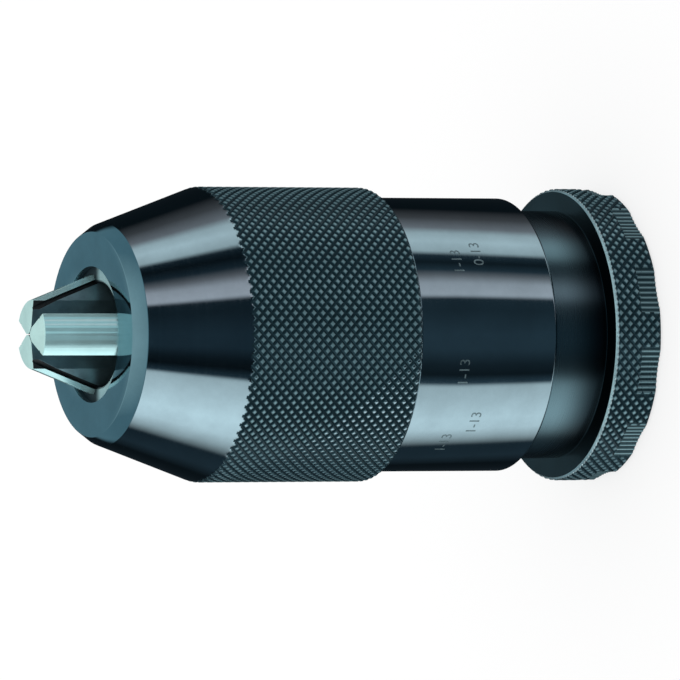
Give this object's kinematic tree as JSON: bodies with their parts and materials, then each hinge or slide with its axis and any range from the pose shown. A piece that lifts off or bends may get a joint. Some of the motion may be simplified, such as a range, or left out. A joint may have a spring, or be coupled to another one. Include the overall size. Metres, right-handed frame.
{
  "type": "keyless drill chuck",
  "caption": "Keyless drill chuck with knurled hood and sleeve, rear holding ring, taper socket and self-centring jaws that slide out of the conical nose.",
  "frame": {"origin": "centre of the rear face, on the chuck's axis, where the chuck stands upright on its rear ring", "axes": "+Z along the axis toward the jaws, -Y the direction jaw_1 faces"},
  "size_m": [0.05, 0.05, 0.1063],
  "materials": {
    "blued_steel": "polished, dark blued steel",
    "jaw_steel": "ground and hardened",
    "guide_steel": "turned and ground",
    "ground_steel": "ground",
    "race_steel": "polished bearing steel",
    "spring_steel": "phosphated spring steel",
    "pin_steel": "ground",
    "cage_brass": "turned",
    "bronze": "bearing bronze",
    "black_rubber": "matt"
  },
  "bodies": {
    "body": {"body": "ground_steel", "holding_ring": "blued_steel", "ring_pins": "pin_steel", "ring_circlip": "spring_steel", "dust_seal": "black_rubber", "back_washer": "bronze", "front_race": "race_steel"},
    "sleeve": {"sleeve": "blued_steel", "hood": "blued_steel", "jaw_guide": "guide_steel", "bearing_bush": "bronze", "rear_race": "race_steel"},
    "ball_ring": {"ball_cage": "cage_brass", "thrust_balls": "race_steel"},
    "spindle": {"spindle": "ground_steel", "jaw_carrier": "ground_steel", "carrier_pin": "pin_steel"},
    "jaw_1": {"jaw_1": "jaw_steel"},
    "jaw_2": {"jaw_2": "jaw_steel"},
    "jaw_3": {"jaw_3": "jaw_steel"}
  },
  "joints": [
    {"name": "sleeve_turn", "type": "hinge", "parent": "body", "child": "sleeve", "pos_m": [0, 0, 0.0366], "axis": [0, 0, 1], "range_deg": [0, 1158.34]},
    {"name": "ball_ring_turn", "type": "hinge", "parent": "body", "child": "ball_ring", "pos_m": [0, 0, 0.0257], "axis": [0, 0, 1], "range_deg": [0, 579.17]},
    {"name": "spindle_slide", "type": "slide", "parent": "sleeve", "child": "spindle", "axis": [0, 0, -1], "range_m": [0, 0.01609]},
    {"name": "jaw_1_slide", "type": "slide", "parent": "sleeve", "child": "jaw_1", "axis": [0, -0.3746, -0.9272], "range_m": [0, 0.01735]},
    {"name": "jaw_2_slide", "type": "slide", "parent": "sleeve", "child": "jaw_2", "axis": [0.3244, 0.1873, -0.9272], "range_m": [0, 0.01735]},
    {"name": "jaw_3_slide", "type": "slide", "parent": "sleeve", "child": "jaw_3", "axis": [-0.3244, 0.1873, -0.9272], "range_m": [0, 0.01735]}
  ],
  "couplings": [
    {"joint": "ball_ring_turn", "follows": "sleeve_turn", "ratio": 0.5},
    {"joint": "spindle_slide", "follows": "sleeve_turn", "m_per_rad": 0.00079577},
    {"joint": "jaw_1_slide", "follows": "sleeve_turn", "m_per_rad": 0.00085827},
    {"joint": "jaw_2_slide", "follows": "sleeve_turn", "m_per_rad": 0.00085827},
    {"joint": "jaw_3_slide", "follows": "sleeve_turn", "m_per_rad": 0.00085827}
  ]
}
